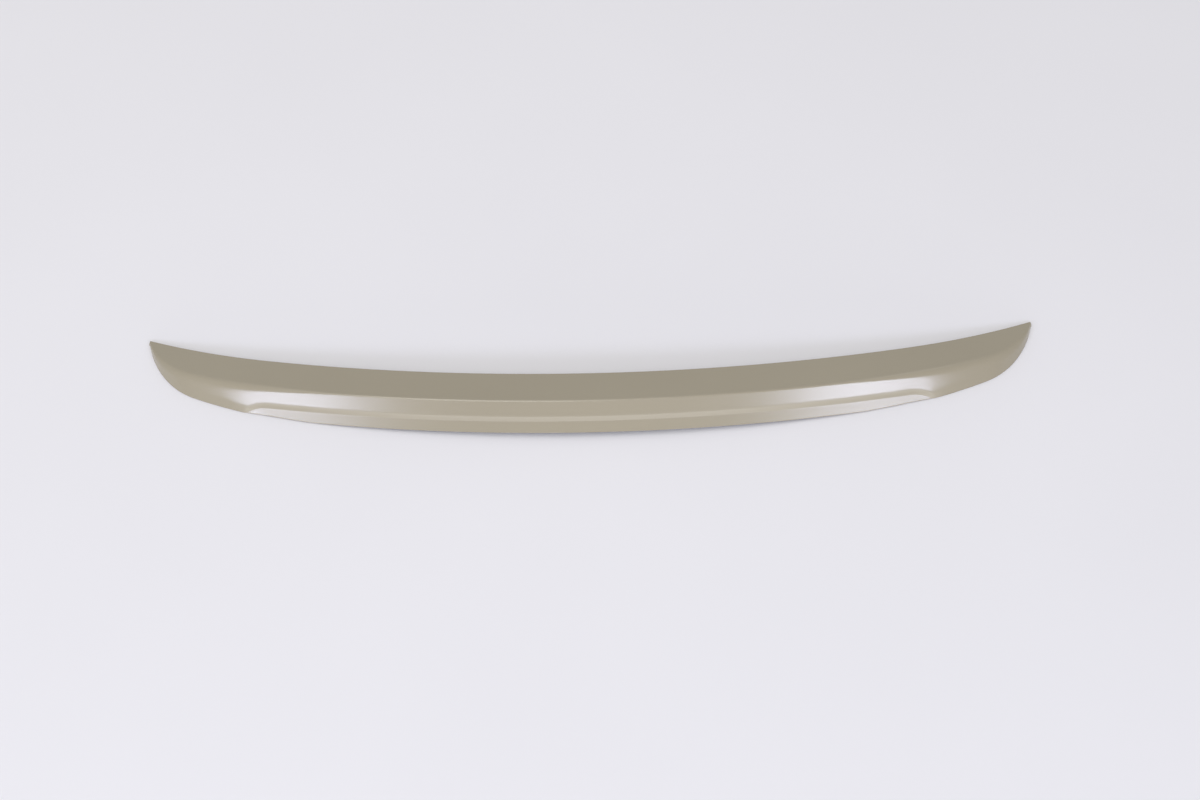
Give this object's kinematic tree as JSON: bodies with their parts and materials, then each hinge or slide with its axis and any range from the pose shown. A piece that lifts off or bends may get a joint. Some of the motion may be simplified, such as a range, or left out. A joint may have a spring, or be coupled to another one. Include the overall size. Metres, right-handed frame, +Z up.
{
  "type": "trunk spoiler",
  "caption": "Slender crescent lip spoiler for a boot lid: one painted thin-walled moulding with a flat sloping top, a crisp lip and a recessed panel along its rear face.",
  "frame": {"origin": "on the resting surface, under the middle of the spoiler's box", "axes": "+X along the spoiler, -Y towards the rear of the car (the lip's side), +Z up"},
  "size_m": [1.15, 0.1647, 0.0396],
  "materials": {
    "paint": "painted satin gloss"
  },
  "bodies": {
    "root": {"spoiler_shell": "paint"}
  },
  "joints": []
}
